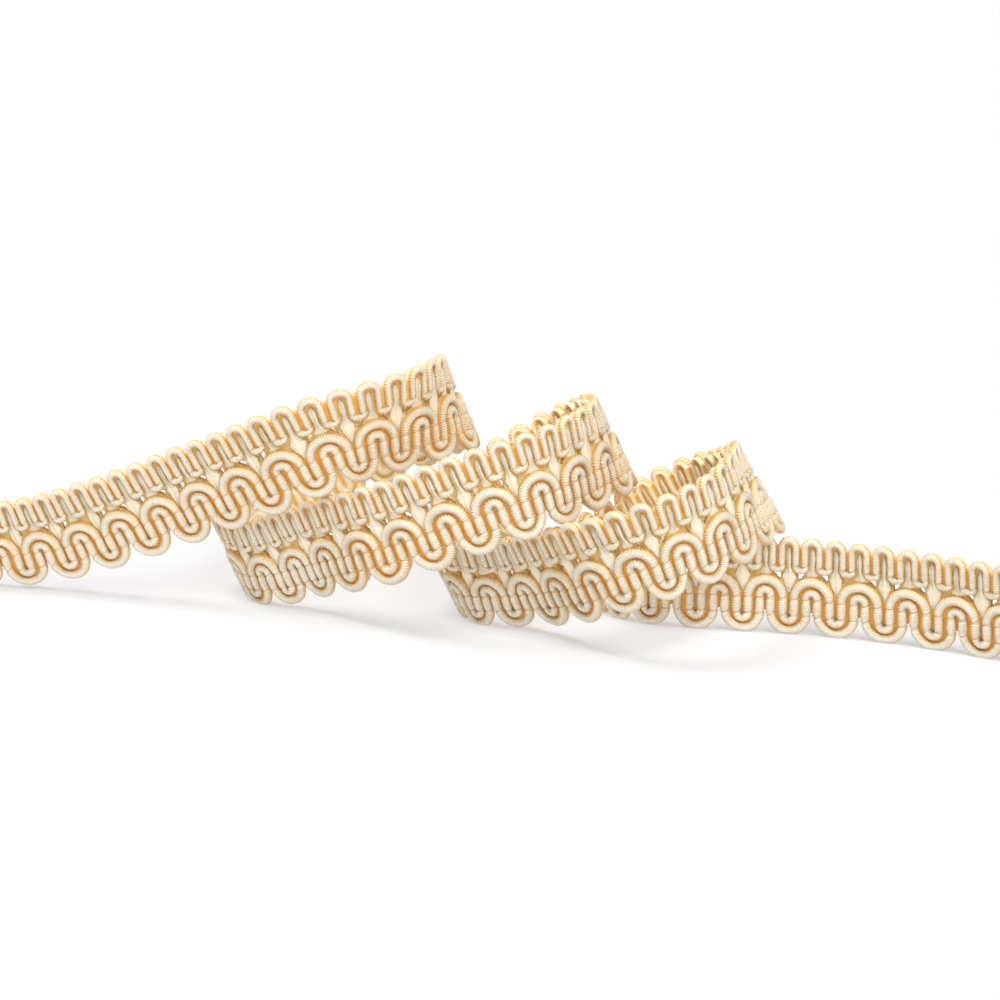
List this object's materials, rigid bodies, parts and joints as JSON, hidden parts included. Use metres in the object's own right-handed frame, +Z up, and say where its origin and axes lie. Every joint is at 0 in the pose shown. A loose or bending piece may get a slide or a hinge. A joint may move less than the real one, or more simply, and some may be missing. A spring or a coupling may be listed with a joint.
{
  "type": "gimp braid trim",
  "caption": "Length of scalloped gimp braid trim, two scroll cords and a looped heading cord on a weft web, standing on edge in three leaning loops.",
  "frame": {"origin": "on the floor, under the middle of the braid's whole box", "axes": "+X along the braid from its left end to its right end, +Y away from the side that shows the cords, +Z up"},
  "size_m": [0.2288, 0.0867, 0.0519],
  "materials": {
    "weft": "soft untwisted rayon weft, pale cream yarn over golden core, low sheen",
    "cord": "cream satin thread wrapped round a cord core, fine cross ridges, silky sheen"
  },
  "bodies": {
    "root": {"weft_web": "weft", "scroll_cord_crest": "cord", "scroll_cord_trough": "cord", "heading_cord": "cord"}
  },
  "joints": []
}
